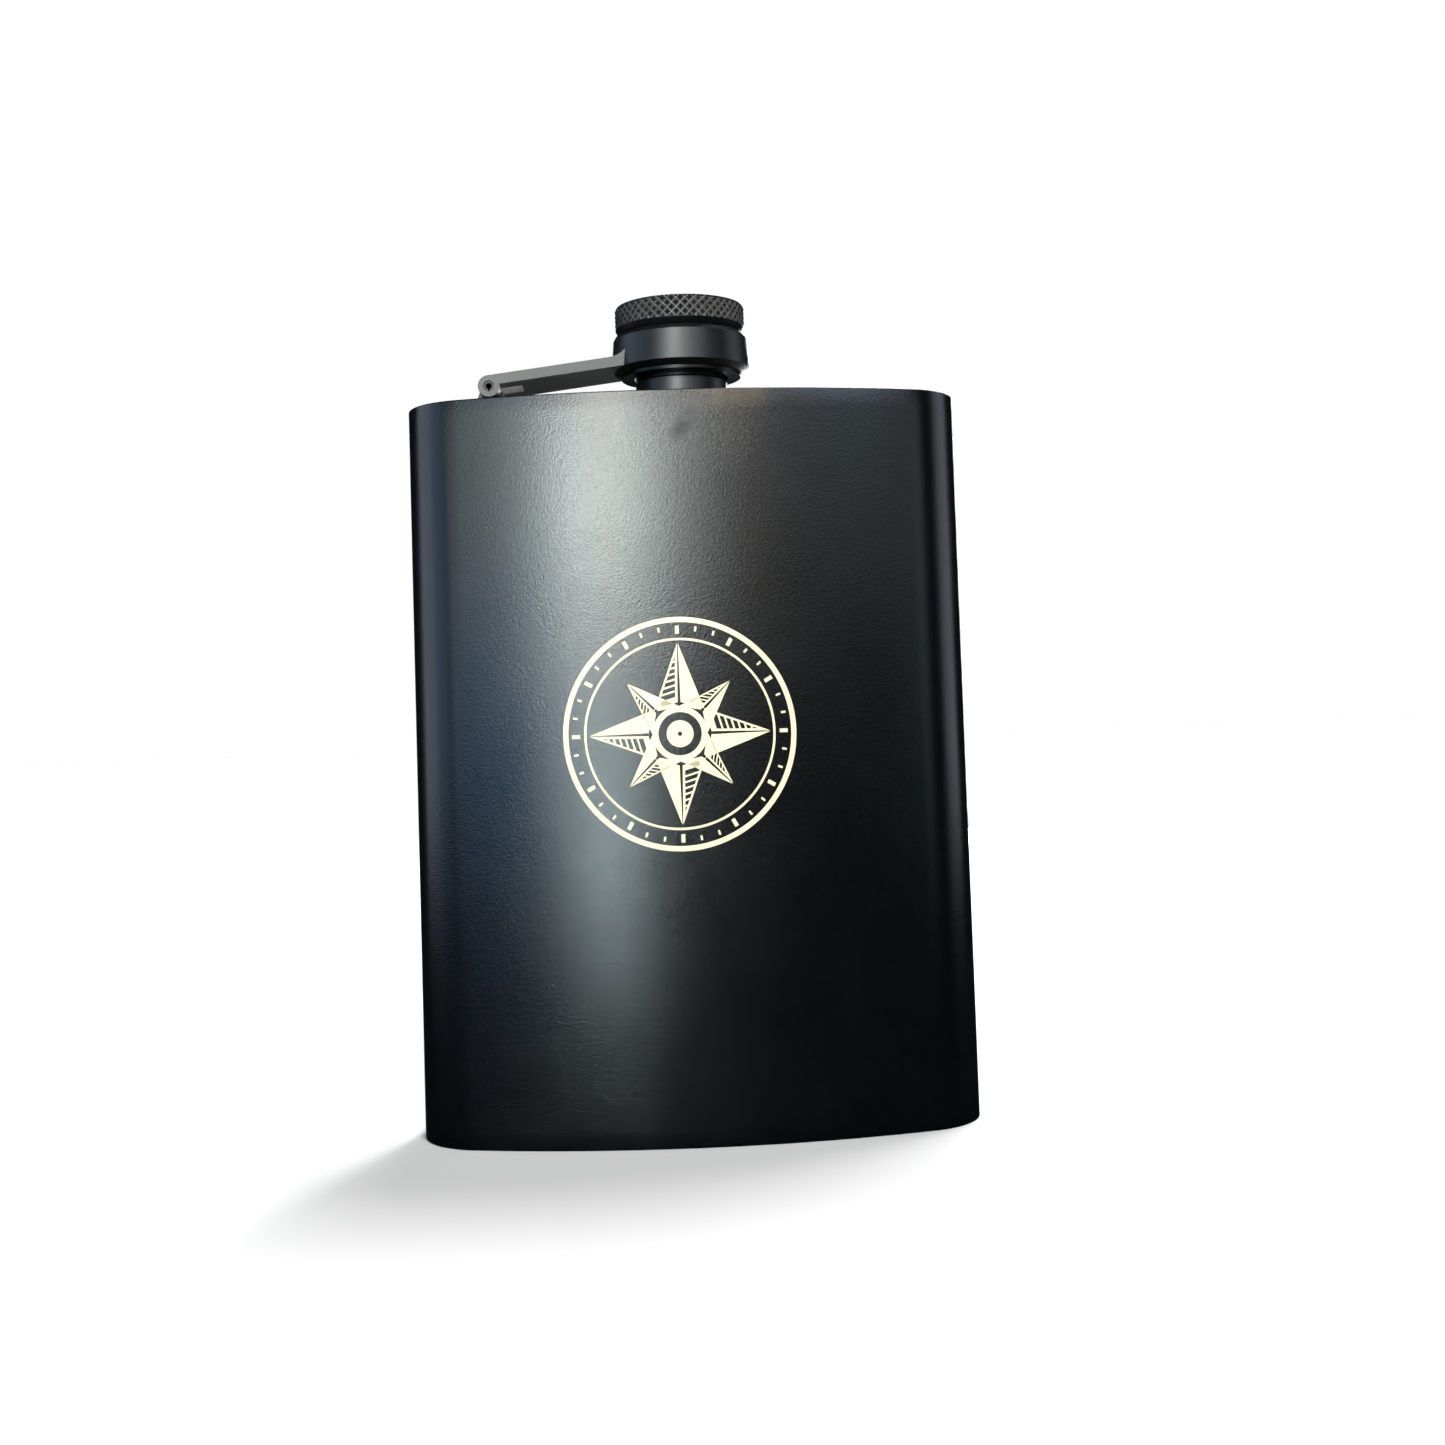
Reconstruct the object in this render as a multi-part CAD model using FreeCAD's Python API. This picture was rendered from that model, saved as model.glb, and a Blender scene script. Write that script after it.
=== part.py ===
"""Hip flask with a captive screw cap, about 0.24 litre, modelled in millimetres.

The flask stands upright on its base, +Z up. The origin is the centre of the base's
footprint, at the surface it stands on. The convex face that carries the engraving
looks along -Y, the hollow face that lies against the hip looks along +Y, and the
lid's hinge is on the -X side of the neck.

The tank is a sheet sleeve of kidney section, closed by two pressed end pans. A
turned neck is welded through the top pan. The cap is a knurled head pressed on a
threaded insert, with a silicone gasket inside; a loose ring round the insert
carries the cap on a forked arm, which swings on a roll pin through a welded bracket.
"""
import FreeCAD, Part
import math
import os

V = FreeCAD.Vector

# ---- tank ----
WIDTH = 94.0            # across the hip, X
DEPTH = 27.0            # overall, Y, from the crown of the front to the tips of the back
THICKNESS = 23.0        # through the middle, Y
BODY_HEIGHT = 123.0     # base to shoulder, Z
FRONT_RADIUS = 145.0    # convex front face
FRONT_CORNER = 12.5     # where the front face turns into the side
BACK_CORNER = 7.5       # where the side turns into the hollow back
WALL = 0.5              # sleeve sheet
RIM_ROUND = 0.2         # outer edge of the sleeve's two rims
PAN_SHEET = 0.6         # end pan sheet
PAN_HEIGHT = 2.0        # end pan, outside face to the edge of its skirt
PANEL_INSET = 5.5       # base panel, in from the outside of the sleeve
PANEL_RISE = 0.6        # base panel, above the rim that the flask stands on
PANEL_LAP = 0.5         # overlap that joins the raised panel to its rim

# ---- neck, heights above the shoulder ----
NECK_SET_BACK = 0.3     # behind the middle of the thickness, which keeps the ring off the front
NECK_BORE = 5.4
NECK_STUB = 7.0         # part that passes through the top pan
NECK_COLLAR = 7.75
NECK_COLLAR_TOP = 3.3
NECK_EDGE = 0.35        # chamfers
NECK_TOP = 10.6
THREAD_ROOT = 6.6
THREAD_CREST = 7.05
THREAD_PITCH = 1.75
THREAD_BOTTOM = 4.9
THREAD_TURNS = 2.0
THREAD_ROOT_WIDTH = 1.1
THREAD_CREST_WIDTH = 0.5
THREAD_BITE = 0.15      # how far a swept thread runs into the wall that it stands on

# ---- cap, heights above the shoulder ----
INSERT_BOTTOM = 3.85
INSERT_LIP_TOP = 4.35
INSERT_LIP = 10.15      # lip that keeps the ring on
INSERT_STEM = 9.3
INSERT_BORE = 7.65
INSERT_GROOVE = 8.15    # root of the internal thread
INSERT_CEILING = 12.2
INSERT_TOP = 13.8
GASKET_BOTTOM = 10.75
GASKET_RADIUS = 7.6
GASKET_HOLLOW = 4.2     # the gasket is a flat ring
HEAD_BOTTOM = 11.2
HEAD_BOTTOM_RADIUS = 10.6
KNURL_BOTTOM = 12.4
KNURL_RADIUS = 11.05
HEAD_TOP = 16.0
HEAD_TOP_CHAMFER = 0.35
HEAD_DISH = 0.25        # shallow turned recess in the top face
HEAD_DISH_RADIUS = 8.8

# ---- ring and arm, heights above the shoulder ----
RING_BORE = 9.45
RING_BOTTOM = 4.45
RING_FOOT_RADIUS = 10.35
RING_LOW_EDGE = 5.2
RING_LOW_RADIUS = 11.8
RING_HIGH_EDGE = 10.3
RING_HIGH_RADIUS = 11.4
RING_TOP = 11.0
RING_TOP_RADIUS = 11.0
ARM_WIDTH = 13.6
ARM_SHEET = 1.7
ARM_SLOPE = math.radians(7.2)   # from the pin up to the ring
SWEEP_START = -12.1     # where the arm's top starts to sweep up the ring
SWEEP_RADIUS = 4.5
SWEEP_TURN = math.radians(55)
ARM_EDGE = 0.15
FORK_SLOT = 5.2         # clear width between the two eyes
FORK_DEPTH = 5.3        # from the pin's axis to the end of the slot
EYE_RADIUS = 1.8
EYE_BORE = 0.9

# ---- hinge ----
PIN_X = -32.2
PIN_Z = 2.2             # above the shoulder
PIN_RADIUS = 0.85
PIN_BORE = 0.5
PIN_LENGTH = 13.2
PIN_SLOT = 0.3
BARREL_WIDTH = 5.0
FOOT_SHEET = 0.7
FOOT_LEFT = 2.9         # foot's reach from the pin, away from the neck
FOOT_RIGHT = 7.2        # foot's reach from the pin, towards the neck
WEB_SPREAD = 0.7        # how much wider the barrel's web is at its foot

# ---- worked out ----
FRONT_Y = -DEPTH / 2
NECK_Y = FRONT_Y + THICKNESS / 2 + NECK_SET_BACK
BACK_CORNER_X = WIDTH / 2 - BACK_CORNER
BACK_CORNER_Y = DEPTH / 2 - BACK_CORNER
BACK_MIDDLE_Y = FRONT_Y + THICKNESS
# The hollow back is the arc that passes through the back's middle and touches both corner arcs.
BACK_STEP = BACK_MIDDLE_Y - BACK_CORNER_Y
BACK_RADIUS = (BACK_CORNER_X**2 + BACK_STEP**2 - BACK_CORNER**2) / (2 * (BACK_CORNER - BACK_STEP))


def at_neck(z):
    """A point on the neck's axis, z above the shoulder."""
    return V(0, NECK_Y, BODY_HEIGHT + z)


def point_on(centre, radius, towards):
    """The point of a circle that lies in the direction of another point."""
    away = (towards - centre).normalize()
    return centre + away * radius


def kidney_wire(inset, z):
    """The flask's outline at height z, moved inwards by inset."""
    front_centre = V(0, FRONT_Y + FRONT_RADIUS, z)
    front_corner_x = WIDTH / 2 - FRONT_CORNER
    front_corner_y = front_centre.y - math.sqrt(
        (FRONT_RADIUS - FRONT_CORNER) ** 2 - front_corner_x**2)
    back_centre = V(0, BACK_MIDDLE_Y + BACK_RADIUS, z)
    side_x = WIDTH / 2 - inset
    half_turn = math.sqrt(0.5)

    # the right-hand half, from the crown of the front to the middle of the back
    front_corner = V(front_corner_x, front_corner_y, z)
    back_corner = V(BACK_CORNER_X, BACK_CORNER_Y, z)
    crown = V(0, FRONT_Y + inset, z)
    front_end = front_corner + (front_corner - front_centre).normalize() * (FRONT_CORNER - inset)
    front_mid = point_on(front_centre, FRONT_RADIUS - inset, (crown + front_end) * 0.5)
    side_low = V(side_x, front_corner_y, z)
    corner_mid = point_on(front_corner, FRONT_CORNER - inset, (front_end + side_low) * 0.5)
    side_high = V(side_x, BACK_CORNER_Y, z)
    back_end = point_on(back_corner, BACK_CORNER - inset, back_centre)
    back_corner_mid = back_corner + V(half_turn, half_turn, 0) * (BACK_CORNER - inset)
    middle = V(0, BACK_MIDDLE_Y - inset, z)
    back_mid = point_on(back_centre, BACK_RADIUS + inset, (back_end + middle) * 0.5)

    right = [
        Part.Arc(crown, front_mid, front_end),
        Part.Arc(front_end, corner_mid, side_low),
        Part.LineSegment(side_low, side_high),
        Part.Arc(side_high, back_corner_mid, back_end),
        Part.Arc(back_end, back_mid, middle),
    ]
    edges = [curve.toShape() for curve in right]
    edges += [edge.mirror(V(0, 0, 0), V(1, 0, 0)) for edge in edges]
    return Part.Wire(Part.__sortEdges__(edges))


def kidney(inset, bottom, top):
    """A solid of the flask's section, from height bottom to height top."""
    return Part.Face(kidney_wire(inset, bottom)).extrude(V(0, 0, top - bottom))


def turned(profile):
    """A solid turned about the neck's axis, from (radius, height above the shoulder) points."""
    points = [at_neck(z) + V(radius, 0, 0) for radius, z in profile]
    outline = Part.Face(Part.makePolygon(points + points[:1]))
    return outline.revolve(at_neck(0), V(0, 0, 1), 360)


def helical_bar(inner, outer, inner_width, outer_width, bottom, turns):
    """A screw thread's bar: a trapezoid between two radii, swept along a helix."""
    height = THREAD_PITCH * turns
    path = Part.makeHelix(THREAD_PITCH, height, inner)
    corners = [
        V(inner, 0, -inner_width / 2),
        V(outer, 0, -outer_width / 2),
        V(outer, 0, outer_width / 2),
        V(inner, 0, inner_width / 2),
    ]
    section = Part.makePolygon(corners + corners[:1])
    bar = Part.Wire(path).makePipeShell([section], True, True)
    bar.translate(at_neck(bottom))
    return bar


def side_extrusion(outline, half_width):
    """Extrudes an (x, z) face across the flask, the same each side of the neck's plane."""
    outline.translate(V(0, NECK_Y - half_width, 0))
    return outline.extrude(V(0, 2 * half_width, 0))


def cross_cylinder(radius, half_width):
    """A cylinder on the hinge pin's axis."""
    start = V(PIN_X, NECK_Y - half_width, BODY_HEIGHT + PIN_Z)
    return Part.makeCylinder(radius, 2 * half_width, start, V(0, 1, 0))


def body_sleeve():
    outside = kidney(0, 0, BODY_HEIGHT)
    rims = [
        edge for edge in outside.Edges
        if edge.BoundBox.ZLength < 1e-6
    ]
    outside = outside.makeFillet(RIM_ROUND, rims)
    return outside.cut(kidney(WALL, -1, BODY_HEIGHT + 1))


def top_pan():
    top = BODY_HEIGHT
    pan = kidney(WALL, top - PAN_HEIGHT, top)
    pan = pan.cut(kidney(WALL + PAN_SHEET, top - PAN_HEIGHT - 1, top - PAN_SHEET))
    hole = Part.makeCylinder(NECK_STUB, 3 * PAN_HEIGHT, at_neck(-2 * PAN_HEIGHT))
    return pan.cut(hole)


def bottom_pan():
    pan = kidney(WALL, 0, PAN_HEIGHT)
    pan = pan.cut(kidney(WALL + PAN_SHEET, PAN_SHEET, PAN_HEIGHT + 1))
    pan = pan.cut(kidney(PANEL_INSET, -1, PAN_SHEET + 1))
    panel = kidney(PANEL_INSET - PANEL_LAP, PANEL_RISE, PANEL_RISE + PAN_SHEET)
    return pan.fuse(panel).removeSplitter()


def neck():
    blank = turned([
        (NECK_BORE, -PAN_HEIGHT),
        (NECK_STUB, -PAN_HEIGHT),
        (NECK_STUB, 0),
        (NECK_COLLAR, 0),
        (NECK_COLLAR, NECK_COLLAR_TOP - NECK_EDGE),
        (NECK_COLLAR - NECK_EDGE, NECK_COLLAR_TOP),
        (THREAD_ROOT, NECK_COLLAR_TOP),
        (THREAD_ROOT, NECK_TOP - NECK_EDGE),
        (THREAD_ROOT - NECK_EDGE, NECK_TOP),
        (NECK_BORE, NECK_TOP),
    ])
    thread = helical_bar(
        THREAD_ROOT - THREAD_BITE, THREAD_CREST,
        THREAD_ROOT_WIDTH, THREAD_CREST_WIDTH, THREAD_BOTTOM, THREAD_TURNS)
    return blank.fuse(thread)


def cap_insert():
    blank = turned([
        (0, INSERT_CEILING),
        (INSERT_BORE, INSERT_CEILING),
        (INSERT_BORE, INSERT_LIP_TOP),
        (INSERT_BORE + NECK_EDGE, INSERT_BOTTOM),
        (INSERT_LIP, INSERT_BOTTOM),
        (INSERT_LIP, INSERT_LIP_TOP),
        (INSERT_STEM, INSERT_LIP_TOP),
        (INSERT_STEM, INSERT_TOP),
        (0, INSERT_TOP),
    ])
    groove = helical_bar(
        INSERT_BORE - THREAD_BITE, INSERT_GROOVE,
        THREAD_ROOT_WIDTH, THREAD_CREST_WIDTH, INSERT_BOTTOM + THREAD_PITCH, THREAD_TURNS)
    return blank.cut(groove)


def cap_gasket():
    return turned([
        (GASKET_HOLLOW, GASKET_BOTTOM),
        (GASKET_RADIUS, GASKET_BOTTOM),
        (GASKET_RADIUS, INSERT_CEILING),
        (GASKET_HOLLOW, INSERT_CEILING),
    ])


def cap_head():
    return turned([
        (0, INSERT_TOP),
        (INSERT_STEM, INSERT_TOP),
        (INSERT_STEM, HEAD_BOTTOM),
        (HEAD_BOTTOM_RADIUS, HEAD_BOTTOM),
        (KNURL_RADIUS, KNURL_BOTTOM),
        (KNURL_RADIUS, HEAD_TOP - HEAD_TOP_CHAMFER),
        (KNURL_RADIUS - HEAD_TOP_CHAMFER, HEAD_TOP),
        (HEAD_DISH_RADIUS + HEAD_DISH, HEAD_TOP),
        (HEAD_DISH_RADIUS, HEAD_TOP - HEAD_DISH),
        (0, HEAD_TOP - HEAD_DISH),
    ])


def ring_outline(bore):
    return [
        (bore, RING_BOTTOM),
        (RING_FOOT_RADIUS, RING_BOTTOM),
        (RING_LOW_RADIUS, RING_LOW_EDGE),
        (RING_HIGH_RADIUS, RING_HIGH_EDGE),
        (RING_TOP_RADIUS, RING_TOP),
        (bore, RING_TOP),
    ]


def captive_ring():
    return turned(ring_outline(RING_BORE))


def lid_arm():
    """A forked bar: two eyes round the pin, and an end shaped to the ring that it is welded to."""
    pin = V(PIN_X, 0, BODY_HEIGHT + PIN_Z)
    along = V(math.cos(ARM_SLOPE), 0, math.sin(ARM_SLOPE))
    across = V(-along.z, 0, along.x)
    reach = -PIN_X                      # past the ring's wall, then cut back to it
    top_left = pin + across * EYE_RADIUS
    low_left = pin + across * (EYE_RADIUS - ARM_SHEET)
    bar_corners = [top_left, top_left + along * reach, low_left + along * reach, low_left]
    bar = side_extrusion(Part.Face(Part.makePolygon(bar_corners + bar_corners[:1])), ARM_WIDTH / 2)

    # a sweep up the ring, where the bar's corners run into it
    foot = top_left + along * ((SWEEP_START - top_left.x) / along.x)
    centre = foot + across * SWEEP_RADIUS
    bend, end = (
        centre + (along * math.sin(turn) - across * math.cos(turn)) * SWEEP_RADIUS
        for turn in (SWEEP_TURN / 2, SWEEP_TURN)
    )
    below = end - across * (across.dot(end - foot) + ARM_SHEET / 2)
    edges = [
        Part.Arc(foot, bend, end).toShape(),
        Part.makeLine(end, below),
        Part.makeLine(below, foot),
    ]
    gusset = side_extrusion(Part.Face(Part.Wire(edges)), ARM_WIDTH / 2)

    eyes = cross_cylinder(EYE_RADIUS, ARM_WIDTH / 2)
    arm = bar.fuse([eyes, gusset]).removeSplitter()
    slot_corner = V(
        PIN_X - 2 * EYE_RADIUS, NECK_Y - FORK_SLOT / 2, BODY_HEIGHT + PIN_Z - 3 * EYE_RADIUS)
    slot = Part.makeBox(2 * EYE_RADIUS + FORK_DEPTH, FORK_SLOT, 6 * EYE_RADIUS, slot_corner)
    arm = arm.cut([slot, cross_cylinder(EYE_BORE, ARM_WIDTH)])
    return arm.cut(turned(ring_outline(0)))


def hinge_bracket():
    """A foot spot-welded to the top pan, with the barrel that grips the pin."""
    half = BARREL_WIDTH / 2
    foot_corner = V(PIN_X - FOOT_LEFT, NECK_Y - half, BODY_HEIGHT)
    foot = Part.makeBox(FOOT_LEFT + FOOT_RIGHT - half, BARREL_WIDTH, FOOT_SHEET, foot_corner)
    toe_centre = V(PIN_X + FOOT_RIGHT - half, NECK_Y, BODY_HEIGHT)
    toe = Part.makeCylinder(half, FOOT_SHEET, toe_centre)
    spread = EYE_RADIUS + WEB_SPREAD
    floor_z = BODY_HEIGHT + FOOT_SHEET / 2
    web_corners = [
        V(PIN_X - spread, 0, floor_z),
        V(PIN_X + spread, 0, floor_z),
        V(PIN_X + EYE_RADIUS, 0, BODY_HEIGHT + PIN_Z),
        V(PIN_X - EYE_RADIUS, 0, BODY_HEIGHT + PIN_Z),
    ]
    web = side_extrusion(Part.Face(Part.makePolygon(web_corners + web_corners[:1])), half)
    bracket = foot.fuse([toe, web, cross_cylinder(EYE_RADIUS, half)]).removeSplitter()
    return bracket.cut(cross_cylinder(PIN_RADIUS, ARM_WIDTH))


def hinge_pin():
    """A slotted roll pin."""
    half = PIN_LENGTH / 2
    tube = cross_cylinder(PIN_RADIUS, half).cut(cross_cylinder(PIN_BORE, ARM_WIDTH))
    slot_corner = V(PIN_X - PIN_SLOT / 2, NECK_Y - half - 1, BODY_HEIGHT + PIN_Z - PIN_RADIUS - 1)
    return tube.cut(Part.makeBox(PIN_SLOT, PIN_LENGTH + 2, PIN_RADIUS + 1, slot_corner))


PARTS = {
    "body_sleeve": body_sleeve,
    "top_pan": top_pan,
    "bottom_pan": bottom_pan,
    "neck": neck,
    "hinge_bracket": hinge_bracket,
    "hinge_pin": hinge_pin,
    "lid_arm": lid_arm,
    "captive_ring": captive_ring,
    "cap_insert": cap_insert,
    "cap_gasket": cap_gasket,
    "cap_head": cap_head,
}


def main():
    os.makedirs("parts", exist_ok=True)
    for name, build in PARTS.items():
        shape = build()
        solids = shape.Solids
        print(f"{name}: {len(solids)} solid, valid {shape.isValid()}, {shape.Volume:.1f} mm3")
        shape.exportStep(f"parts/{name}.step")
    tank = kidney(WALL, PANEL_RISE + PAN_SHEET, BODY_HEIGHT - PAN_SHEET)
    print(f"inside volume {tank.Volume / 1000:.0f} ml, back radius {BACK_RADIUS:.1f}")


main()
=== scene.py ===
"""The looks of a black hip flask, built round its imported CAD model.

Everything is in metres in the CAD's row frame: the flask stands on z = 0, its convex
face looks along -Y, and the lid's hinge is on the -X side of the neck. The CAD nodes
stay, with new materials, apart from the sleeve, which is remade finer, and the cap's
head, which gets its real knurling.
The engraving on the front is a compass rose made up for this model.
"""
import math

import bmesh
import bpy
from mathutils import Matrix, Vector


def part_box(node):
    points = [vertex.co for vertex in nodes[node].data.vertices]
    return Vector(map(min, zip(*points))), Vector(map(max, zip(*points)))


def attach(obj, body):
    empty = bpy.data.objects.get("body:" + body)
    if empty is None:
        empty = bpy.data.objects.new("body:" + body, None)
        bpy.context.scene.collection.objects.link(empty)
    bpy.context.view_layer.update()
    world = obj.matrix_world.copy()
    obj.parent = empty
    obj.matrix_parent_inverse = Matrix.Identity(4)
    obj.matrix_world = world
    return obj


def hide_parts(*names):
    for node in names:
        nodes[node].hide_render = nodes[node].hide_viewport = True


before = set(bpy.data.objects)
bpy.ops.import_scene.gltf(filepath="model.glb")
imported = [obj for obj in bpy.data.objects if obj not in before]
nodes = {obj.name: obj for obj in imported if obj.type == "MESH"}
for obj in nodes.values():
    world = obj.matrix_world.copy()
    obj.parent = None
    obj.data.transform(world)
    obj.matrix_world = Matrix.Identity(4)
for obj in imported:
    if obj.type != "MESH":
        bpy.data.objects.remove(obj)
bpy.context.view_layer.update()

MM = 0.001
scene = bpy.context.scene

# ---- sizes read from the frame ----
sleeve_low, sleeve_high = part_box("body_sleeve")
head_low, head_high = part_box("cap_head")
neck_low, neck_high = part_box("neck")
FRONT_Y = sleeve_low.y
BACK_Y = sleeve_high.y
HALF_WIDTH = sleeve_high.x
SHOULDER_Z = sleeve_high.z
NECK_Y = (neck_low.y + neck_high.y) / 2
HEAD_RADIUS = (head_high.x - head_low.x) / 2
HEAD_BOTTOM = head_low.z
HEAD_TOP = head_high.z

# ---- the tank's section, as in the CAD ----
FRONT_RADIUS = 145 * MM
FRONT_CORNER = 12.5 * MM
BACK_CORNER = 7.5 * MM
THICKNESS = 23.0 * MM           # through the middle
WALL = 0.5 * MM
RIM_ROUND = 0.25 * MM
SLEEVE_STEP = 0.8 * MM          # longest mesh edge round the section
SLEEVE_ROWS = 40                # mesh rows up the wall
RIM_STEPS = 6                   # mesh rows round each rim

# ---- what is engraved on the front face ----
EMBLEM_X = -2.3 * MM
EMBLEM_Z = 66.5 * MM
EMBLEM_RADIUS = 19.0 * MM
EMBLEM_LIFT = 0.02 * MM
EMBLEM_THICKNESS = 0.05 * MM
EMBLEM_STRIP = 1.0 * MM         # widest facet across the curve of the front
EMBLEM_RINGS = [                # inner radius, outer radius, mesh steps
    (EMBLEM_RADIUS - 0.85 * MM, EMBLEM_RADIUS, 180),
    (0.80 * EMBLEM_RADIUS, 0.80 * EMBLEM_RADIUS + 0.38 * MM, 180),
    (0.185 * EMBLEM_RADIUS, 0.235 * EMBLEM_RADIUS, 90),
    (0.02 * EMBLEM_RADIUS, 0.115 * EMBLEM_RADIUS, 60),
]
TICK_OUTER = 0.925 * EMBLEM_RADIUS
LONG_TICK = (0.855 * EMBLEM_RADIUS, 0.62 * MM)      # inner radius, width
SHORT_TICK = (0.885 * EMBLEM_RADIUS, 0.34 * MM)
POINTERS = [                    # first bearing, tip's radius, widest point's radius
    (45, 0.62 * EMBLEM_RADIUS, 0.235 * EMBLEM_RADIUS),
    (0, 0.775 * EMBLEM_RADIUS, 0.30 * EMBLEM_RADIUS),
]
POINTER_ROOT = 0.27 * EMBLEM_RADIUS
POINTER_GAP = 0.50 * MM         # bare line down a pointer's middle, at its root
OUTLINE_SHARE = 0.30            # how far the outlined half's strokes reach in to its middle
STROKES = 7
STROKE_SHARE = 0.16             # width of one stroke, as a share of their spacing

# ---- wear on the front: x, depth below the shoulder, and reach along x, y and z ----
WEAR_REACH_Y = 9 * MM
SMEAR = (0.2 * MM, 5.6 * MM, (2.4 * MM, WEAR_REACH_Y, 5.2 * MM))
SMEAR_TILT = 38                 # degrees from upright
HANDLED = (3.0 * MM, 5.0 * MM, (15 * MM, WEAR_REACH_Y, 12 * MM))
STAIN = (7.5 * MM, 1.0 * MM, (10 * MM, WEAR_REACH_Y, 4.0 * MM))
HANDLED_TONE = (0.030, 0.026, 0.021)
STAIN_TONE = (0.050, 0.034, 0.016)
COAT_IOR = 1.5

# ---- the tall cards round the flask that its coat mirrors; nothing else sees them ----
# bearing from the front (towards -X) in degrees, distance, lower and upper edge, width,
# watts, colour
CARDS = [
    (13.4, 0.6, 0, 0.03, 0.06, 0.41, (0.78, 0.95, 1.0)),
    (13.4, 0.6, 0.13, 0.24, 0.06, 0.494, (1.0, 0.96, 0.86)),
    (7.5, 0.6, 0.12, 0.24, 0.06, 0.567, (0.86, 1.0, 0.99)),
    (19.5, 0.6, 0, 0.04, 0.06, 0.067, (0.73, 0.98, 1.0)),
    (19.5, 0.6, 0.04, 0.12, 0.06, 0.109, (0.8, 0.91, 1.0)),
    (19.5, 0.6, 0.12, 0.24, 0.06, 0.669, (0.87, 1.0, 1.0)),
    (30, 0.75, 0.01, 0.14, 0.2, 0.199, (0.14, 0.46, 1.0)),
    (30, 0.75, 0.14, 0.32, 0.2, 0.39, (0.86, 1.0, 0.95)),
    (30, 0.75, 0.32, 0.65, 0.2, 0.7, (0.5, 0.72, 1.0)),
    (48, 0.75, 0.01, 0.14, 0.22, 0.176, (0.43, 0.67, 1.0)),
    (48, 0.75, 0.14, 0.32, 0.22, 0.235, (0.85, 0.95, 1.0)),
    (-1, 0.75, 0.14, 0.32, 0.1, 0.338, (0.95, 1.0, 0.98)),
    (-12, 0.75, 0.14, 0.32, 0.16, 0.1, (1.0, 0.9, 0.8)),
    (-12, 0.75, 0.32, 0.65, 0.16, 0.428, (0.95, 0.92, 1.0)),
    (-30, 0.75, 0.14, 0.32, 0.25, 0.1, (0.8, 1.0, 0.95)),
    (-30, 0.75, 0.32, 0.65, 0.25, 1.05, (0.68, 0.79, 1.0)),
    (-50, 0.75, 0.01, 0.14, 0.22, 0.053, (0.6, 0.95, 1.0)),
    (-50, 0.75, 0.14, 0.32, 0.22, 0.116, (0.9, 0.9, 1.0)),
    (75, 0.7, 0, 0.5, 0.35, 0.75, (0.45, 0.7, 1.0)),
    (100, 0.7, 0, 0.5, 0.35, 0.824, (0.7, 0.8, 1.0)),
    (-100, 0.7, 0, 0.5, 0.35, 0.66, (0.79, 0.84, 1.0)),
    (12, 0.6, 0.25, 0.5, 0.13, 1.5, (1.0, 1.0, 0.97)),
    (5, 0.7, 0.4, 0.8, 0.5, 3.6, (1.0, 1.0, 0.98)),
]

# ---- the cap's head ----
KNURL_COUNT = 46
KNURL_STEPS = 12                # mesh columns and rows for each diamond
KNURL_DEPTH = 0.36 * MM
KNURL_LOW = 1.2 * MM            # knurled band's lower edge, above the head's underside
KNURL_HIGH = 0.35 * MM          # and its upper edge, below the head's top
KNURL_BEVEL = 0.12 * MM         # where the knurling runs out at its lower edge
KNURL_OVERCUT = 1.12            # over 1, so that the diamonds' points are cut flat
# the outline under the knurling: inset from the head's radius, height above its underside
HEAD_FOOT = [
    (1.60 * MM, 0.0),
    (0.68 * MM, 0.0),
    (0.62 * MM, 0.04 * MM),
    (0.06 * MM, KNURL_LOW - 0.12 * MM),
    (0.08 * MM, KNURL_LOW - 0.04 * MM),
]
# the outline above it: inset, depth below the top, share of the knurling's depth
HEAD_CROWN = [
    (0.12 * MM, 0.20 * MM, 0.45),
    (0.26 * MM, 0.06 * MM, 0.0),
    (0.40 * MM, 0.01 * MM, 0.0),
    (0.60 * MM, 0.0, 0.0),
    (1.93 * MM, 0.0, 0.0),
    (2.05 * MM, 0.03 * MM, 0.0),
    (2.25 * MM, 0.23 * MM, 0.0),
    (2.38 * MM, 0.25 * MM, 0.0),
]
HEAD_DISH = 0.25 * MM           # depth of the recess in the top face
DISH_RINGS = (0.6, 0.3)         # mesh rings in the recess, as shares of the head's radius

# ---- the view: a short lens close to the flask, a little below its middle ----
CAMERA_PLACE = (-6.67 * MM, -296.05 * MM, 68.24 * MM)
CAMERA_YAW = 2.389              # degrees
CAMERA_PITCH = 2.918
CAMERA_ROLL = -1.891
CAMERA_LENS = 43.3              # on a 36 mm sensor
CAMERA_SENSOR = 36.0
CAMERA_SHIFT = -0.062


# ------------------------------------------------------------------ node helpers

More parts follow.
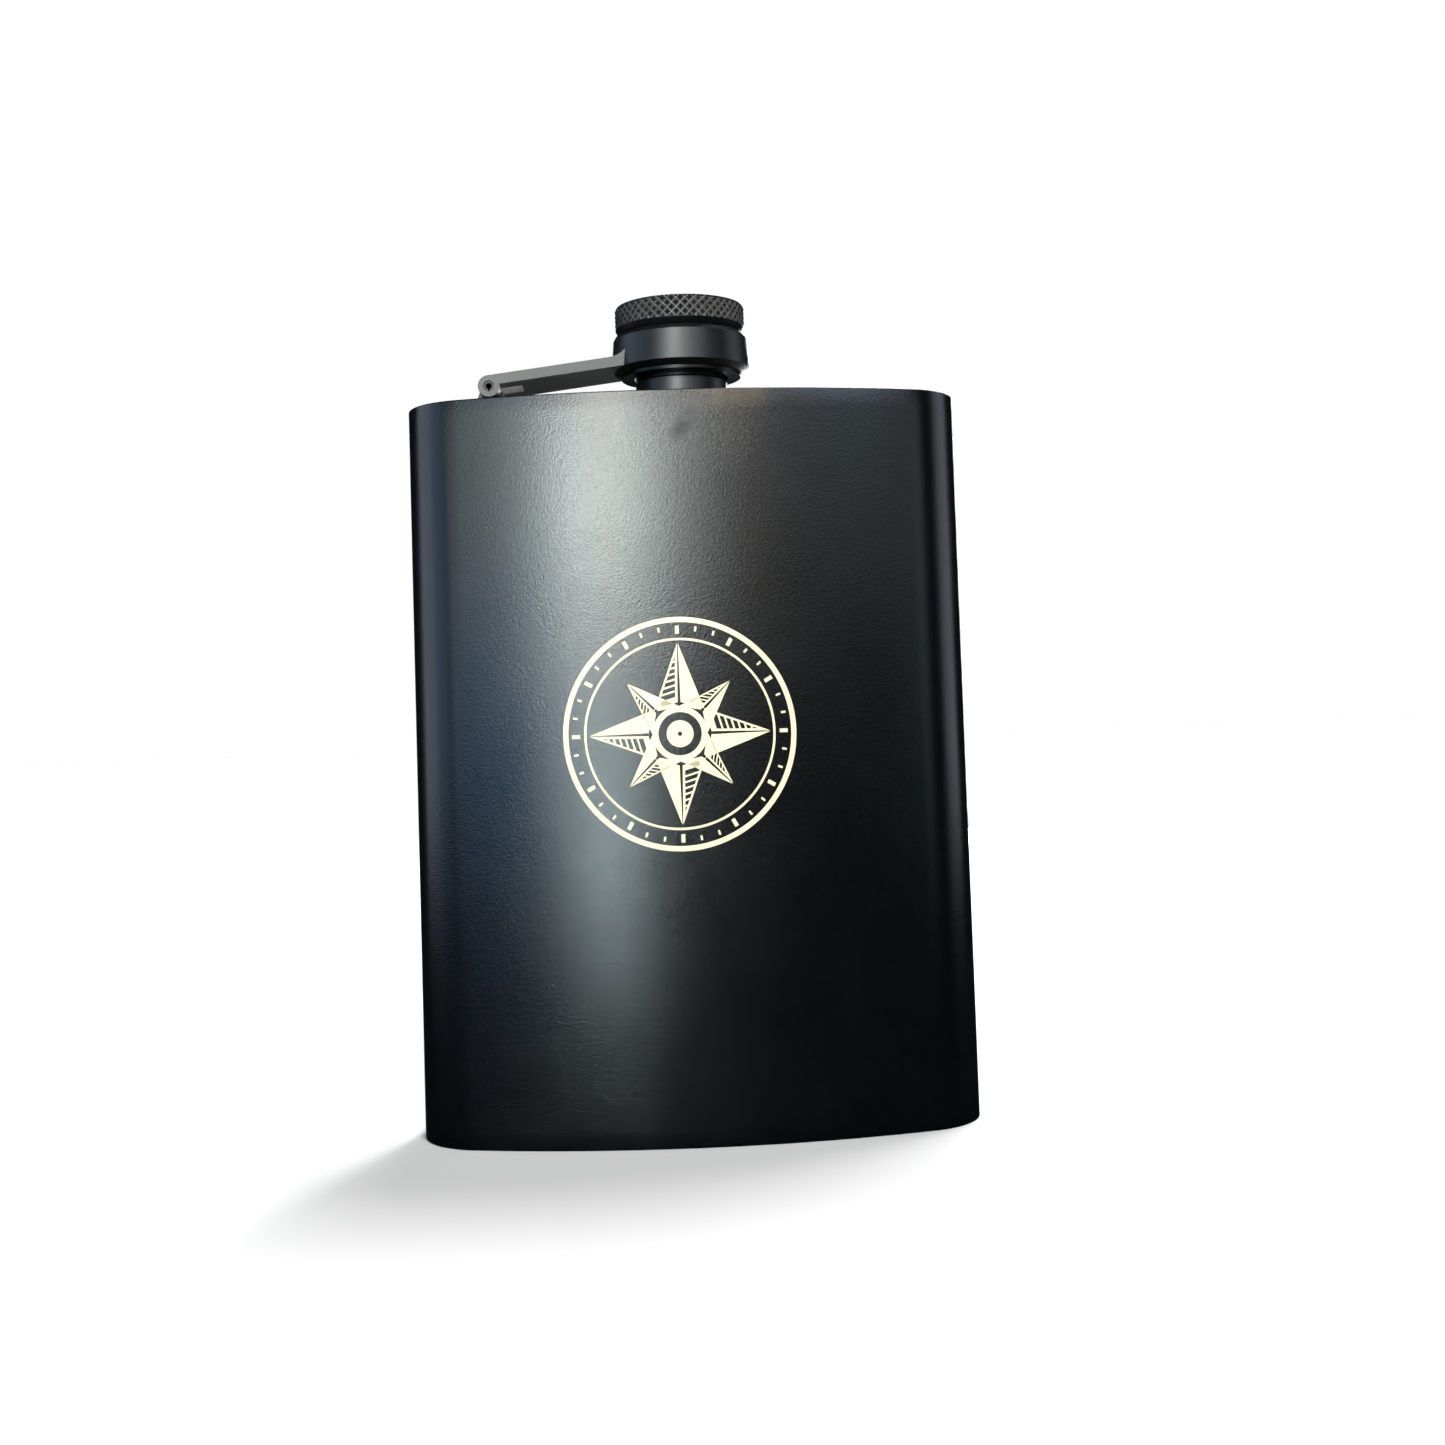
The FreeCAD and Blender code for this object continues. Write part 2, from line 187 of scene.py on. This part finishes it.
class Graph:
    """A material's nodes, added one call at a time. Sockets are passed from call to call."""

    def __init__(self, name):
        self.material = bpy.data.materials.new(name)
        self.material.use_nodes = True
        self.tree = self.material.node_tree
        self.tree.nodes.clear()
        output = self.add("ShaderNodeOutputMaterial")
        self.shader = self.add("ShaderNodeBsdfPrincipled")
        self.join(self.shader.outputs["BSDF"], output, "Surface")
        self.place = self.add("ShaderNodeTexCoord").outputs["Object"]

    def add(self, kind, **values):
        node = self.tree.nodes.new(kind)
        for key, value in values.items():
            if hasattr(node, key):
                setattr(node, key, value)
            else:
                node.inputs[key].default_value = value
        return node

    def join(self, socket, node, into):
        self.tree.links.new(socket, node.inputs[into])

    def noise(self, size, detail=2.0, rough=0.5, stretch=(1, 1, 1)):
        """Noise whose features are about size across."""
        mapping = self.add("ShaderNodeMapping", Scale=[s / size for s in stretch])
        self.join(self.place, mapping, "Vector")
        node = self.add("ShaderNodeTexNoise", Scale=1.0, Detail=detail, Roughness=rough)
        self.join(mapping.outputs["Vector"], node, "Vector")
        return node.outputs["Fac"]

    def remap(self, value, low, high, to_low, to_high, smooth=False):
        node = self.add("ShaderNodeMapRange")
        node.inputs["From Min"].default_value = low
        node.inputs["From Max"].default_value = high
        node.inputs["To Min"].default_value = to_low
        node.inputs["To Max"].default_value = to_high
        if smooth:
            node.interpolation_type = "SMOOTHSTEP"
        self.join(value, node, "Value")
        return node.outputs["Result"]

    def math(self, operation, a, b):
        """An operation on two values, each a socket or a number."""
        node = self.add("ShaderNodeMath", operation=operation)
        for index, value in enumerate((a, b)):
            if isinstance(value, (int, float)):
                node.inputs[index].default_value = value
            else:
                self.join(value, node, index)
        return node.outputs[0]

    def vector(self, operation, a, b=None):
        node = self.add("ShaderNodeVectorMath", operation=operation)
        self.join(a, node, 0)
        if b is not None:
            node.inputs[1].default_value = b
        return node.outputs["Value" if operation == "LENGTH" else "Vector"]

    def colours(self, factor, dark, light):
        """From dark at factor 0 to light at 1."""
        node = self.add("ShaderNodeMix", data_type="RGBA")
        node.inputs[6].default_value = (*dark, 1)
        node.inputs[7].default_value = (*light, 1)
        self.join(factor, node, 0)
        return node.outputs[2]

    def blend(self, colour, over, factor):
        """A fixed colour laid over another by factor."""
        node = self.add("ShaderNodeMix", data_type="RGBA")
        node.inputs[7].default_value = (*over, 1)
        self.join(colour, node, 6)
        self.join(factor, node, 0)
        return node.outputs[2]

    def bump(self, height, distance):
        node = self.add("ShaderNodeBump", Distance=distance)
        self.join(height, node, "Height")
        self.join(node.outputs["Normal"], self.shader, "Normal")

    def set(self, **values):
        for key, value in values.items():
            self.shader.inputs[key.replace("_", " ")].default_value = value

    def feed(self, socket, into):
        self.join(socket, self.shader, into)

    def feed_gloss(self, noise, rough):
        """Roughness that wanders between two values."""
        low, high = rough
        self.feed(self.remap(noise, 0.3, 0.7, low, high), "Roughness")


# ------------------------------------------------------------------ materials

def blot(g, x, below, reach, tilt=0.0):
    """A soft ellipsoid on the front, 1 in its middle and 0 outside, tilted about y."""
    mapping = g.add("ShaderNodeMapping", vector_type="TEXTURE",
                    Location=(x, FRONT_Y, SHOULDER_Z - below),
                    Rotation=(0, math.radians(tilt), 0), Scale=reach)
    g.join(g.place, mapping, "Vector")
    distance = g.vector("LENGTH", mapping.outputs["Vector"])
    return g.remap(distance, 0.2, 1.0, 1.0, 0.0, smooth=True)


def powder_coat(name, dark, light, rough, grain, grain_height):
    """Satin powder coat: a fine grain, cloudy gloss, and wear on the front below the neck."""
    g = Graph(name)
    fine = g.noise(grain, detail=2.0, rough=0.6)
    cloud = g.noise(14 * MM, detail=4.0, rough=0.6)
    speck = g.noise(0.34 * MM, detail=3.0, rough=0.7)
    ragged = g.noise(2.2 * MM, detail=4.0, rough=0.65)

    # a rubbed smear, the speckled area round it, and a faint brown stain by the rim
    broken = g.remap(ragged, 0.35, 0.6, 0.35, 1.0)
    dots = g.remap(speck, 0.48, 0.66, 0.0, 1.0)
    smear = g.math("MULTIPLY", blot(g, *SMEAR, tilt=SMEAR_TILT), broken)
    speckled = g.math("ADD", g.math("MULTIPLY", dots, 0.7), 0.12)
    handled = g.math("MULTIPLY", blot(g, *HANDLED), speckled)
    stain = g.math("MULTIPLY", blot(g, *STAIN), broken)

    coat = g.colours(cloud, dark, light)
    coat = g.blend(coat, HANDLED_TONE, handled)
    coat = g.blend(coat, STAIN_TONE, stain)
    g.feed(coat, "Base Color")

    low, high = rough
    gloss = g.remap(cloud, 0.3, 0.7, low, high)
    gloss = g.math("ADD", gloss, g.remap(speck, 0.3, 0.7, -0.035, 0.035))
    gloss = g.math("ADD", gloss, g.math("MULTIPLY", smear, 0.30))
    gloss = g.math("ADD", gloss, g.math("MULTIPLY", handled, 0.16))
    g.feed(gloss, "Roughness")
    g.bump(fine, grain_height)
    g.set(IOR=COAT_IOR)
    return g


def turned_coat(name, dark, light, rough):
    """Smooth satin coat over a turned part, with the lathe's fine rings showing through."""
    g = Graph(name)
    cloud = g.noise(5 * MM, detail=4.0)
    rings = g.noise(0.10 * MM, detail=2.0, stretch=(0.02, 0.02, 1))
    fine = g.noise(0.12 * MM, detail=2.0)
    g.feed(g.colours(cloud, dark, light), "Base Color")
    g.feed_gloss(cloud, rough)
    g.bump(g.math("ADD", rings, g.math("MULTIPLY", fine, 0.35)), 0.004 * MM)
    g.set(IOR=COAT_IOR)
    return g


def knurled_coat(name, groove, point, rough):
    """The turned coat where it is knurled, with painted highlight lines along the cut grooves,
    paler than the diamonds.
    """
    g = Graph(name)
    from_axis = g.vector("MULTIPLY", g.vector("SUBTRACT", g.place, (0, NECK_Y, 0)), (1, 1, 0))
    radius = g.vector("LENGTH", from_axis)
    cut = g.remap(radius, HEAD_RADIUS - 0.1 * KNURL_DEPTH, HEAD_RADIUS - 0.9 * KNURL_DEPTH,
                  0.0, 1.0)

    # only between the knurling's two edges, and not on the chamfers or the dish
    edge = 0.02 * MM
    low = HEAD_BOTTOM + KNURL_LOW
    high = HEAD_TOP - KNURL_HIGH
    axes = g.add("ShaderNodeSeparateXYZ")
    g.join(g.place, axes, "Vector")
    above = g.remap(axes.outputs["Z"], low - edge, low + edge, 0.0, 1.0)
    below = g.remap(axes.outputs["Z"], high + edge, high - edge, 0.0, 1.0)

    wear = g.noise(1.2 * MM, detail=4.0, rough=0.65)
    patchy_glint = g.remap(wear, 0.3, 0.7, 0.5, 1.0)
    # painted highlight: pale lines along the groove bottoms, where the real knurling catches the
    # light, patchy along their length
    line = g.math("MULTIPLY", g.math("POWER", cut, 2.0), patchy_glint)
    line = g.math("MULTIPLY", line, g.math("MULTIPLY", above, below))
    g.feed(g.colours(line, point, groove), "Base Color")
    g.feed_gloss(wear, rough)
    g.bump(g.noise(0.12 * MM, detail=2.0), 0.004 * MM)
    g.set(IOR=COAT_IOR, Specular_IOR_Level=0.45)
    return g


def bare_steel(name):
    """Steel laid bare by the engraving laser: a warm matte face crossed by fine level passes."""
    g = Graph(name)
    passes = g.noise(0.16 * MM, detail=3.0, rough=0.7, stretch=(0.035, 0.035, 1))
    patch = g.noise(3.2 * MM, detail=3.0, stretch=(0.5, 0.5, 1))
    tone = g.math("ADD", g.math("MULTIPLY", passes, 0.75), g.math("MULTIPLY", patch, 0.35))
    tone = g.remap(tone, 0.4, 0.7, 0.0, 1.0)
    g.feed(g.colours(tone, (0.69, 0.61, 0.39), (0.89, 0.82, 0.57)), "Base Color")
    g.feed_gloss(patch, (0.5, 0.62))
    g.set(Metallic=0.2)
    g.bump(passes, 0.01 * MM)
    return g


def dark_spring_steel(name):
    """Blackened roll pin, drawn along its length."""
    g = Graph(name)
    drawn = g.noise(0.1 * MM, detail=3.0, stretch=(1, 0.05, 1))
    g.feed(g.colours(drawn, (0.010, 0.010, 0.011), (0.030, 0.030, 0.032)), "Base Color")
    g.feed_gloss(drawn, (0.4, 0.55))
    g.set(Metallic=0.6)
    g.bump(drawn, 0.01 * MM)
    return g


def silicone(name):
    """Milky sealing ring with a faint moulded grain."""
    g = Graph(name)
    cloud = g.noise(2.0 * MM, detail=3.0)
    g.feed(g.colours(cloud, (0.62, 0.62, 0.58), (0.74, 0.74, 0.70)), "Base Color")
    g.feed_gloss(cloud, (0.45, 0.55))
    g.set(Subsurface_Weight=0.15, Subsurface_Scale=1.0 * MM)
    g.bump(g.noise(0.15 * MM, detail=2.0), 0.02 * MM)
    return g


def pale_floor(name):
    """The sweep that the flask stands on."""
    g = Graph(name)
    cloud = g.noise(300 * MM, detail=2.0)
    g.feed(g.colours(cloud, (0.86, 0.86, 0.86), (0.88, 0.88, 0.88)), "Base Color")
    g.set(Roughness=0.9)
    return g


def paint(obj, graph):
    obj.data.materials.clear()
    obj.data.materials.append(graph.material)


# ------------------------------------------------------------------ mesh helpers

def new_object(name, bm, body, smooth_angle=None):
    mesh = bpy.data.meshes.new(name)
    bm.normal_update()
    bm.to_mesh(mesh)
    bm.free()
    obj = bpy.data.objects.new(name, mesh)
    scene.collection.objects.link(obj)
    if smooth_angle is not None:
        mesh.shade_smooth()
        mesh.set_sharp_from_angle(angle=math.radians(smooth_angle))
    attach(obj, body)
    return obj


def front_y(x):
    """The convex face's surface at x."""
    return FRONT_Y + FRONT_RADIUS - math.sqrt(FRONT_RADIUS**2 - x**2)


# ------------------------------------------------------------------ the tank's sleeve

def arc(centre, radius, start, end, step):
    """Points and outward directions along an arc, its end left out; angles in radians."""
    count = max(2, math.ceil(abs(end - start) * radius / step))
    for k in range(count):
        angle = start + (end - start) * k / count
        away = Vector((math.cos(angle), math.sin(angle)))
        yield centre + away * radius, away


def half_outline(step):
    """The section's +X half in plan, from the crown of the front to the middle of the back."""
    quarter = math.pi / 2
    front_centre = Vector((0, FRONT_Y + FRONT_RADIUS))
    corner_x = HALF_WIDTH - FRONT_CORNER
    drop = math.sqrt((FRONT_RADIUS - FRONT_CORNER) ** 2 - corner_x**2)
    front_corner = Vector((corner_x, front_centre.y - drop))
    back_corner = Vector((HALF_WIDTH - BACK_CORNER, BACK_Y - BACK_CORNER))
    middle_y = FRONT_Y + THICKNESS
    rise = middle_y - back_corner.y
    back_radius = (back_corner.x**2 + rise**2 - BACK_CORNER**2) / (2 * (BACK_CORNER - rise))
    back_centre = Vector((0, middle_y + back_radius))

    lean = front_corner - front_centre
    turn = math.atan2(lean.y, lean.x)
    tuck = back_centre - back_corner
    tuck_angle = math.atan2(tuck.y, tuck.x)
    yield from arc(front_centre, FRONT_RADIUS, -quarter, turn, step)
    yield from arc(front_corner, FRONT_CORNER, turn, 0, step / 2)
    yield Vector((HALF_WIDTH, front_corner.y)), Vector((1, 0))
    yield Vector((HALF_WIDTH, (front_corner.y + back_corner.y) / 2)), Vector((1, 0))
    yield from arc(back_corner, BACK_CORNER, 0, tuck_angle, step / 2)
    for point, away in arc(back_centre, back_radius, tuck_angle - math.pi, -quarter, step):
        yield point, -away
    yield Vector((0, middle_y)), Vector((0, 1))


def outline(step):
    """The whole closed outline: the +X half, then its mirror image back to the crown."""
    half = list(half_outline(step))
    mirrored = [
        (Vector((-point.x, point.y)), Vector((-away.x, away.y)))
        for point, away in reversed(half[1:-1])
    ]
    return half + mirrored


def coated_sleeve():
    """The sheet sleeve, fine enough for its long reflections, with both rims rounded over."""
    section = outline(SLEEVE_STEP)
    top = SHOULDER_Z
    quarters = [math.pi / 2 * k / RIM_STEPS for k in range(RIM_STEPS + 1)]
    soft = [(math.sin(a), math.cos(a)) for a in quarters]
    profile = [(WALL, 0.0)]
    profile += [(RIM_ROUND * (1 - s), RIM_ROUND * (1 - c)) for s, c in soft]
    straight = top - 2 * RIM_ROUND
    profile += [(0.0, RIM_ROUND + straight * k / SLEEVE_ROWS) for k in range(1, SLEEVE_ROWS)]
    profile += [(RIM_ROUND * (1 - s), top - RIM_ROUND * (1 - c)) for s, c in reversed(soft)]
    profile += [(WALL, top)]

    bm = bmesh.new()
    loops = []
    for inset, z in profile:
        loops.append([
            bm.verts.new((point.x - away.x * inset, point.y - away.y * inset, z))
            for point, away in section
        ])
    count = len(section)
    for below, above in zip(loops, loops[1:] + loops[:1]):
        for i in range(count):
            j = (i + 1) % count
            bm.faces.new((below[i], below[j], above[j], above[i]))
    return new_object("coated_sleeve", bm, "flask", smooth_angle=40)


# ------------------------------------------------------------------ knurled head

def diamond(turn, height, pitch):
    """Height of the knurled surface, from 0 in a groove to 1 on a diamond's point."""
    across = turn * KNURL_COUNT
    up = height / pitch

    def ridge(t):
        return 1 - abs(2 * (t % 1.0) - 1)

    return min(1.0, KNURL_OVERCUT * min(ridge(across + up), ridge(across - up)))


def knurled_head():
    """The cap's head: crossed grooves round its rim, turned chamfers and a shallow dish on top."""
    columns = KNURL_COUNT * KNURL_STEPS
    pitch = 2 * math.pi * HEAD_RADIUS / KNURL_COUNT
    rise = pitch / KNURL_STEPS
    low = HEAD_BOTTOM + KNURL_LOW
    high = HEAD_TOP - KNURL_HIGH
    rows = round((high - low) / rise)

    # (radius, z, share of the knurling's depth) up the outside and in across the top
    rings = [(HEAD_RADIUS - inset, HEAD_BOTTOM + above, 0.0) for inset, above in HEAD_FOOT]
    for row in range(rows + 1):
        z = low + (high - low) * row / rows
        bevel = max(0.0, KNURL_BEVEL - (z - low))
        rings.append((HEAD_RADIUS - bevel, z, 1.0 - bevel / KNURL_DEPTH))
    rings += [(HEAD_RADIUS - inset, HEAD_TOP - drop, share) for inset, drop, share in HEAD_CROWN]
    rings += [(share * HEAD_RADIUS, HEAD_TOP - HEAD_DISH, 0.0) for share in DISH_RINGS]

    bm = bmesh.new()
    loops = []
    for radius, z, share in rings:
        loop = []
        for column in range(columns):
            turn = column / columns
            angle = 2 * math.pi * turn
            cut = KNURL_DEPTH * share * (1 - diamond(turn, z - low, pitch)) if share else 0.0
            r = radius - cut
            loop.append(bm.verts.new((r * math.cos(angle), NECK_Y + r * math.sin(angle), z)))
        loops.append(loop)
    for below, above in zip(loops, loops[1:]):
        for i in range(columns):
            j = (i + 1) % columns
            bm.faces.new((below[i], below[j], above[j], above[i]))
    bm.faces.new(loops[-1])
    bm.faces.new(list(reversed(loops[0])))
    return new_object("knurled_head", bm, "cap", smooth_angle=32)


# ------------------------------------------------------------------ engraving

def ring_band(bm, inner, outer, steps):
    """A flat ring in the (x, z) plane, about the emblem's centre."""
    rims = []
    for radius in (inner, outer):
        rims.append([
            bm.verts.new((radius * math.cos(a), 0, radius * math.sin(a)))
            for a in (2 * math.pi * k / steps for k in range(steps))
        ])
    for i in range(steps):
        j = (i + 1) % steps
        bm.faces.new((rims[0][i], rims[0][j], rims[1][j], rims[1][i]))


def flat_shape(bm, points):
    bm.faces.new([bm.verts.new((x, 0, z)) for x, z in points])


def polar(radius, degrees):
    """A point of the emblem, its angle measured clockwise from the top."""
    angle = math.radians(degrees)
    return radius * math.sin(angle), radius * math.cos(angle)


def bar(bm, degrees, inner, outer, width):
    """A short radial stroke."""
    ux, uz = polar(1, degrees)
    half = width / 2
    flat_shape(bm, [
        (ux * inner - uz * half, uz * inner + ux * half),
        (ux * inner + uz * half, uz * inner - ux * half),
        (ux * outer + uz * half, uz * outer - ux * half),
        (ux * outer - uz * half, uz * outer + ux * half),
    ])


def between(a, b, share):
    return a[0] + (b[0] - a[0]) * share, a[1] + (b[1] - a[1]) * share


def pointer(bm, degrees, reach, waist):
    """One point of the rose: a solid half, and a half in outline that is filled with strokes."""
    tip = polar(reach, degrees)
    root = polar(POINTER_ROOT, degrees)
    left = polar(waist, degrees - 45)
    right = polar(waist, degrees + 45)
    split = POINTER_GAP / 2
    ux, uz = polar(1, degrees + 90)

    def shifted(point, by):
        return point[0] + ux * by, point[1] + uz * by

    flat_shape(bm, [shifted(root, split), shifted(tip, split / 4), right])
    # the outlined half, as three strokes round its edge
    corners = [shifted(root, -split), shifted(tip, -split / 4), left]
    middle = [sum(c[i] for c in corners) / 3 for i in (0, 1)]
    inner = [between(c, middle, OUTLINE_SHARE) for c in corners]
    for i in range(3):
        j = (i + 1) % 3
        flat_shape(bm, [corners[i], corners[j], inner[j], inner[i]])
    # strokes across the outlined half
    root_side, tip_side, waist_side = inner
    half = STROKE_SHARE / STROKES
    for k in range(1, STROKES):
        low, high = k / STROKES - half, k / STROKES + half
        flat_shape(bm, [
            between(root_side, tip_side, low),
            between(waist_side, tip_side, low),
            between(waist_side, tip_side, high),
            between(root_side, tip_side, high),
        ])


def engraving():
    """A compass rose, laser-cut through the coat to the bare steel of the curved front."""
    r = EMBLEM_RADIUS
    bm = bmesh.new()
    for inner, outer, steps in EMBLEM_RINGS:
        ring_band(bm, inner, outer, steps)
    for degrees in range(0, 360, 10):
        inner, width = LONG_TICK if degrees % 30 == 0 else SHORT_TICK
        bar(bm, degrees, inner, TICK_OUTER, width)
    for first, reach, waist in POINTERS:
        for quarter in range(4):
            pointer(bm, first + 90 * quarter, reach, waist)

    for vert in bm.verts:
        vert.co.x += EMBLEM_X
        vert.co.z += EMBLEM_Z
    steps = math.ceil(2 * r / EMBLEM_STRIP)
    for k in range(1, steps):
        x = EMBLEM_X - r + 2 * r * k / steps
        whole = bm.verts[:] + bm.edges[:] + bm.faces[:]
        bmesh.ops.bisect_plane(bm, geom=whole, plane_co=(x, 0, 0), plane_no=(1, 0, 0))
    bmesh.ops.triangulate(bm, faces=bm.faces[:])
    for vert in bm.verts:
        vert.co.y = front_y(vert.co.x) - EMBLEM_LIFT
    for face in bm.faces:
        if face.normal.y > 0:
            face.normal_flip()
    obj = new_object("engraving", bm, "flask")
    thick = obj.modifiers.new("thickness", "SOLIDIFY")
    thick.thickness = EMBLEM_THICKNESS
    thick.offset = -1
    return obj


# ------------------------------------------------------------------ the studio

def area_light(name, place, aim, size, power, colour, glossy=True, diffuse=True):
    data = bpy.data.lights.new(name, "AREA")
    data.shape = "RECTANGLE"
    data.size, data.size_y = size
    data.energy = power
    data.color = colour
    obj = bpy.data.objects.new(name, data)
    obj.location = place
    obj.rotation_mode = "QUATERNION"
    obj.rotation_quaternion = (Vector(aim) - Vector(place)).to_track_quat("-Z", "Y")
    obj.visible_glossy = glossy
    obj.visible_diffuse = diffuse
    obj.visible_camera = False
    scene.collection.objects.link(obj)


def sun_light(name, travel, energy, spread, glossy=True):
    data = bpy.data.lights.new(name, "SUN")
    data.energy = energy
    data.angle = math.radians(spread)
    obj = bpy.data.objects.new(name, data)
    obj.rotation_mode = "QUATERNION"
    obj.rotation_quaternion = Vector(travel).to_track_quat("-Z", "Y")
    obj.visible_glossy = glossy
    scene.collection.objects.link(obj)


def around(degrees, distance, z):
    """A place at a bearing from the front, positive towards -X, measured round the flask."""
    angle = math.radians(degrees)
    return -distance * math.sin(angle), -distance * math.cos(angle), z


def light_the_scene():
    world = bpy.data.worlds.new("studio")
    scene.world = world
    world.use_nodes = True
    tree = world.node_tree
    tree.nodes.clear()
    path = tree.nodes.new("ShaderNodeLightPath")
    seen = tree.nodes.new("ShaderNodeBackground")
    room = tree.nodes.new("ShaderNodeBackground")
    mix = tree.nodes.new("ShaderNodeMixShader")
    out = tree.nodes.new("ShaderNodeOutputWorld")
    seen.inputs["Color"].default_value = (1, 1, 1, 1)
    seen.inputs["Strength"].default_value = 1.0
    room.inputs["Color"].default_value = (0.62, 0.78, 1.0, 1)
    room.inputs["Strength"].default_value = 0.012
    tree.links.new(path.outputs["Is Camera Ray"], mix.inputs["Fac"])
    tree.links.new(room.outputs[0], mix.inputs[1])
    tree.links.new(seen.outputs[0], mix.inputs[2])
    tree.links.new(mix.outputs[0], out.inputs["Surface"])

    sun_light("ceiling", travel=(-0.24, -0.36, -1.0), energy=2.4, spread=26)
    sun_light("key", travel=(-0.18, 0.62, -0.75), energy=2.2, spread=22, glossy=False)

    for number, (bearing, distance, low, high, width, power, colour) in enumerate(CARDS):
        height = (low + high) / 2
        area_light(f"card_{number}", around(bearing, distance, height), around(bearing, 0, height),
                   (width, high - low), power, colour, diffuse=False)
    aim = (0, 0, 0.07)
    area_light("front_fill", around(-10, 1.0, 0.35), aim, size=(0.6, 0.6), power=4.0,
               colour=(1.0, 0.98, 0.94), glossy=False)
    area_light("back_strip", around(195, 0.7, 0.25), aim, size=(0.12, 0.5), power=4.0,
               colour=(0.96, 0.98, 1.0))


def floor():
    bpy.ops.mesh.primitive_plane_add(size=12.0, location=(0, 0, 0))
    plane = bpy.context.object
    plane.name = "floor"
    paint(plane, pale_floor("floor_white"))
    plane.visible_glossy = False


def camera():
    """The view of the front, turned by yaw, pitch and roll from looking along +Y."""
    yaw, pitch, roll = (math.radians(a) for a in (CAMERA_YAW, CAMERA_PITCH, CAMERA_ROLL))
    level = Vector((math.cos(yaw), -math.sin(yaw), 0))
    ahead = Vector((math.sin(yaw), math.cos(yaw), 0))
    forward = ahead * math.cos(pitch) + Vector((0, 0, math.sin(pitch)))
    upright = level.cross(forward)
    right = level * math.cos(roll) + upright * math.sin(roll)
    up = upright * math.cos(roll) - level * math.sin(roll)
    data = bpy.data.cameras.new("camera")
    data.sensor_width = CAMERA_SENSOR
    data.lens = CAMERA_LENS
    data.shift_y = CAMERA_SHIFT
    data.clip_start = 0.01
    data.clip_end = 50
    obj = bpy.data.objects.new("camera", data)
    turned = Matrix((right, up, -forward)).transposed().to_4x4()
    obj.matrix_world = Matrix.Translation(CAMERA_PLACE) @ turned
    scene.collection.objects.link(obj)
    scene.camera = obj


# ------------------------------------------------------------------ making

body_coat = powder_coat("powder_coat", dark=(0.0007, 0.0009, 0.0014),
                        light=(0.0013, 0.0015, 0.0020), rough=(0.200, 0.240),
                        grain=0.35 * MM, grain_height=0.03 * MM)
shoulder_coat = powder_coat("shoulder_coat", dark=(0.0010, 0.0012, 0.0016),
                            light=(0.0018, 0.0020, 0.0024), rough=(0.50, 0.56),
                            grain=0.35 * MM, grain_height=0.02 * MM)
# the arm and bracket's black coat with a base colour far lighter than the body's: painted light
# that brightens their face and shaded underside
arm_painted_light_coat = powder_coat("arm_painted_light_coat", dark=(0.060, 0.059, 0.057), light=(0.080, 0.078, 0.074),
                       rough=(0.50, 0.56), grain=0.25 * MM, grain_height=0.01 * MM)
lid_coat = turned_coat("turned_coat", dark=(0.002, 0.002, 0.0022),
                       light=(0.004, 0.004, 0.0042), rough=(0.35, 0.41))
# painted shade: a darker copy of the turned coat with its specular cut down, so the insert's lip
# shows as the dark gap under the ring
insert_shaded_coat = turned_coat("insert_shaded_coat", dark=(0.0015, 0.0015, 0.0017),
                          light=(0.003, 0.003, 0.0032), rough=(0.30, 0.36))
insert_shaded_coat.set(Specular_IOR_Level=0.2)
# the pale groove colour is a painted highlight along the knurling's grooves
knurl_coat = knurled_coat("knurl_coat", groove=(0.120, 0.118, 0.112),
                          point=(0.003, 0.003, 0.0035), rough=(0.30, 0.42))

for node in ("top_pan", "bottom_pan"):
    paint(nodes[node], shoulder_coat)
for node in ("neck", "captive_ring"):
    paint(nodes[node], lid_coat)
for node in ("hinge_bracket", "lid_arm"):
    paint(nodes[node], arm_painted_light_coat)
paint(nodes["cap_insert"], insert_shaded_coat)
paint(nodes["hinge_pin"], dark_spring_steel("dark_spring_steel"))
paint(nodes["cap_gasket"], silicone("silicone"))

sleeve = coated_sleeve()
paint(sleeve, body_coat)
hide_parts("body_sleeve")

head = knurled_head()
paint(head, knurl_coat)
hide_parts("cap_head")

paint(engraving(), bare_steel("bare_steel"))

floor()
light_the_scene()
camera()
scene.view_settings.view_transform = "Standard"
